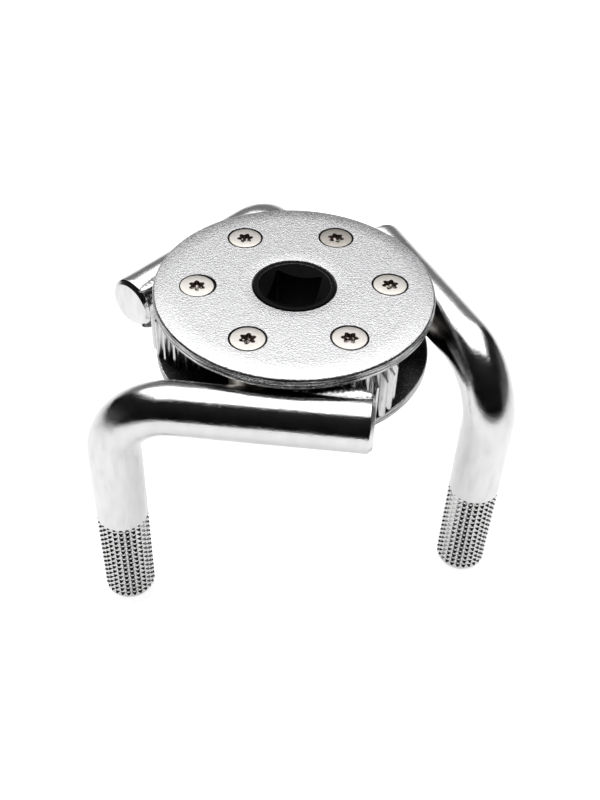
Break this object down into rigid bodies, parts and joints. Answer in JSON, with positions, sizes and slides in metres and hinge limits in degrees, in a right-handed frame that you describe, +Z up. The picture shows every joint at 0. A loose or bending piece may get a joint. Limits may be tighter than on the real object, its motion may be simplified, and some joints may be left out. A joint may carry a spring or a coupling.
{
  "type": "oil filter wrench",
  "caption": "Self-gripping oil filter wrench: bent, knurled legs geared to a central square drive swing between two round plates to grip a filter canister.",
  "frame": {"origin": "on the drive axis, in the plane of the three leg tips, where a filter canister enters", "axes": "+Z up along the drive axis, from the leg tips to the top plate; +X towards the first spacer, -Y towards the side where one arm's bar lies across the front"},
  "size_m": [0.1127, 0.1109, 0.0828],
  "materials": {
    "plate_steel": "fine-grained satin chrome on the faces, polished on the rim",
    "bar_chrome": "polished chrome plate",
    "gear_steel": "plated, broached teeth",
    "weld_metal": "plated over a rough bead",
    "post_steel": "turned",
    "screw_nickel": "satin, slightly warm",
    "black_oxide": "black oxide, low gloss"
  },
  "bodies": {
    "plates": {"top_plate": "plate_steel", "bottom_plate": "plate_steel", "spacer_1": "post_steel", "spacer_2": "post_steel", "spacer_3": "post_steel", "pivot_pin_1": "post_steel", "pivot_pin_2": "post_steel", "pivot_pin_3": "post_steel", "top_screw_1": "screw_nickel", "top_screw_2": "screw_nickel", "top_screw_3": "screw_nickel", "top_screw_4": "screw_nickel", "top_screw_5": "screw_nickel", "top_screw_6": "screw_nickel", "bottom_screw_1": "screw_nickel", "bottom_screw_2": "screw_nickel", "bottom_screw_3": "screw_nickel", "bottom_screw_4": "screw_nickel", "bottom_screw_5": "screw_nickel", "bottom_screw_6": "screw_nickel"},
    "drive": {"drive_gear": "black_oxide"},
    "arm_1": {"arm_1_bar": "bar_chrome", "arm_1_gear": "gear_steel", "arm_1_weld": "weld_metal"},
    "arm_2": {"arm_2_bar": "bar_chrome", "arm_2_gear": "gear_steel", "arm_2_weld": "weld_metal"},
    "arm_3": {"arm_3_bar": "bar_chrome", "arm_3_gear": "gear_steel", "arm_3_weld": "weld_metal"}
  },
  "joints": [
    {"name": "drive_turn", "type": "hinge", "parent": "plates", "child": "drive", "pos_m": [0, 0, 0.0717], "axis": [0, 0, 1], "range_deg": [-92, 1.6]},
    {"name": "arm_1_swing", "type": "hinge", "parent": "plates", "child": "arm_1", "pos_m": [0.01275, 0.02208, 0.0717], "axis": [0, 0, 1], "range_deg": [-1.8, 103.6]},
    {"name": "arm_2_swing", "type": "hinge", "parent": "plates", "child": "arm_2", "pos_m": [-0.0255, 0, 0.0717], "axis": [0, 0, 1], "range_deg": [-1.8, 103.6]},
    {"name": "arm_3_swing", "type": "hinge", "parent": "plates", "child": "arm_3", "pos_m": [0.01275, -0.02208, 0.0717], "axis": [0, 0, 1], "range_deg": [-1.8, 103.6]}
  ],
  "couplings": [
    {"joint": "arm_1_swing", "follows": "drive_turn", "ratio": -1.125},
    {"joint": "arm_2_swing", "follows": "drive_turn", "ratio": -1.125},
    {"joint": "arm_3_swing", "follows": "drive_turn", "ratio": -1.125}
  ]
}
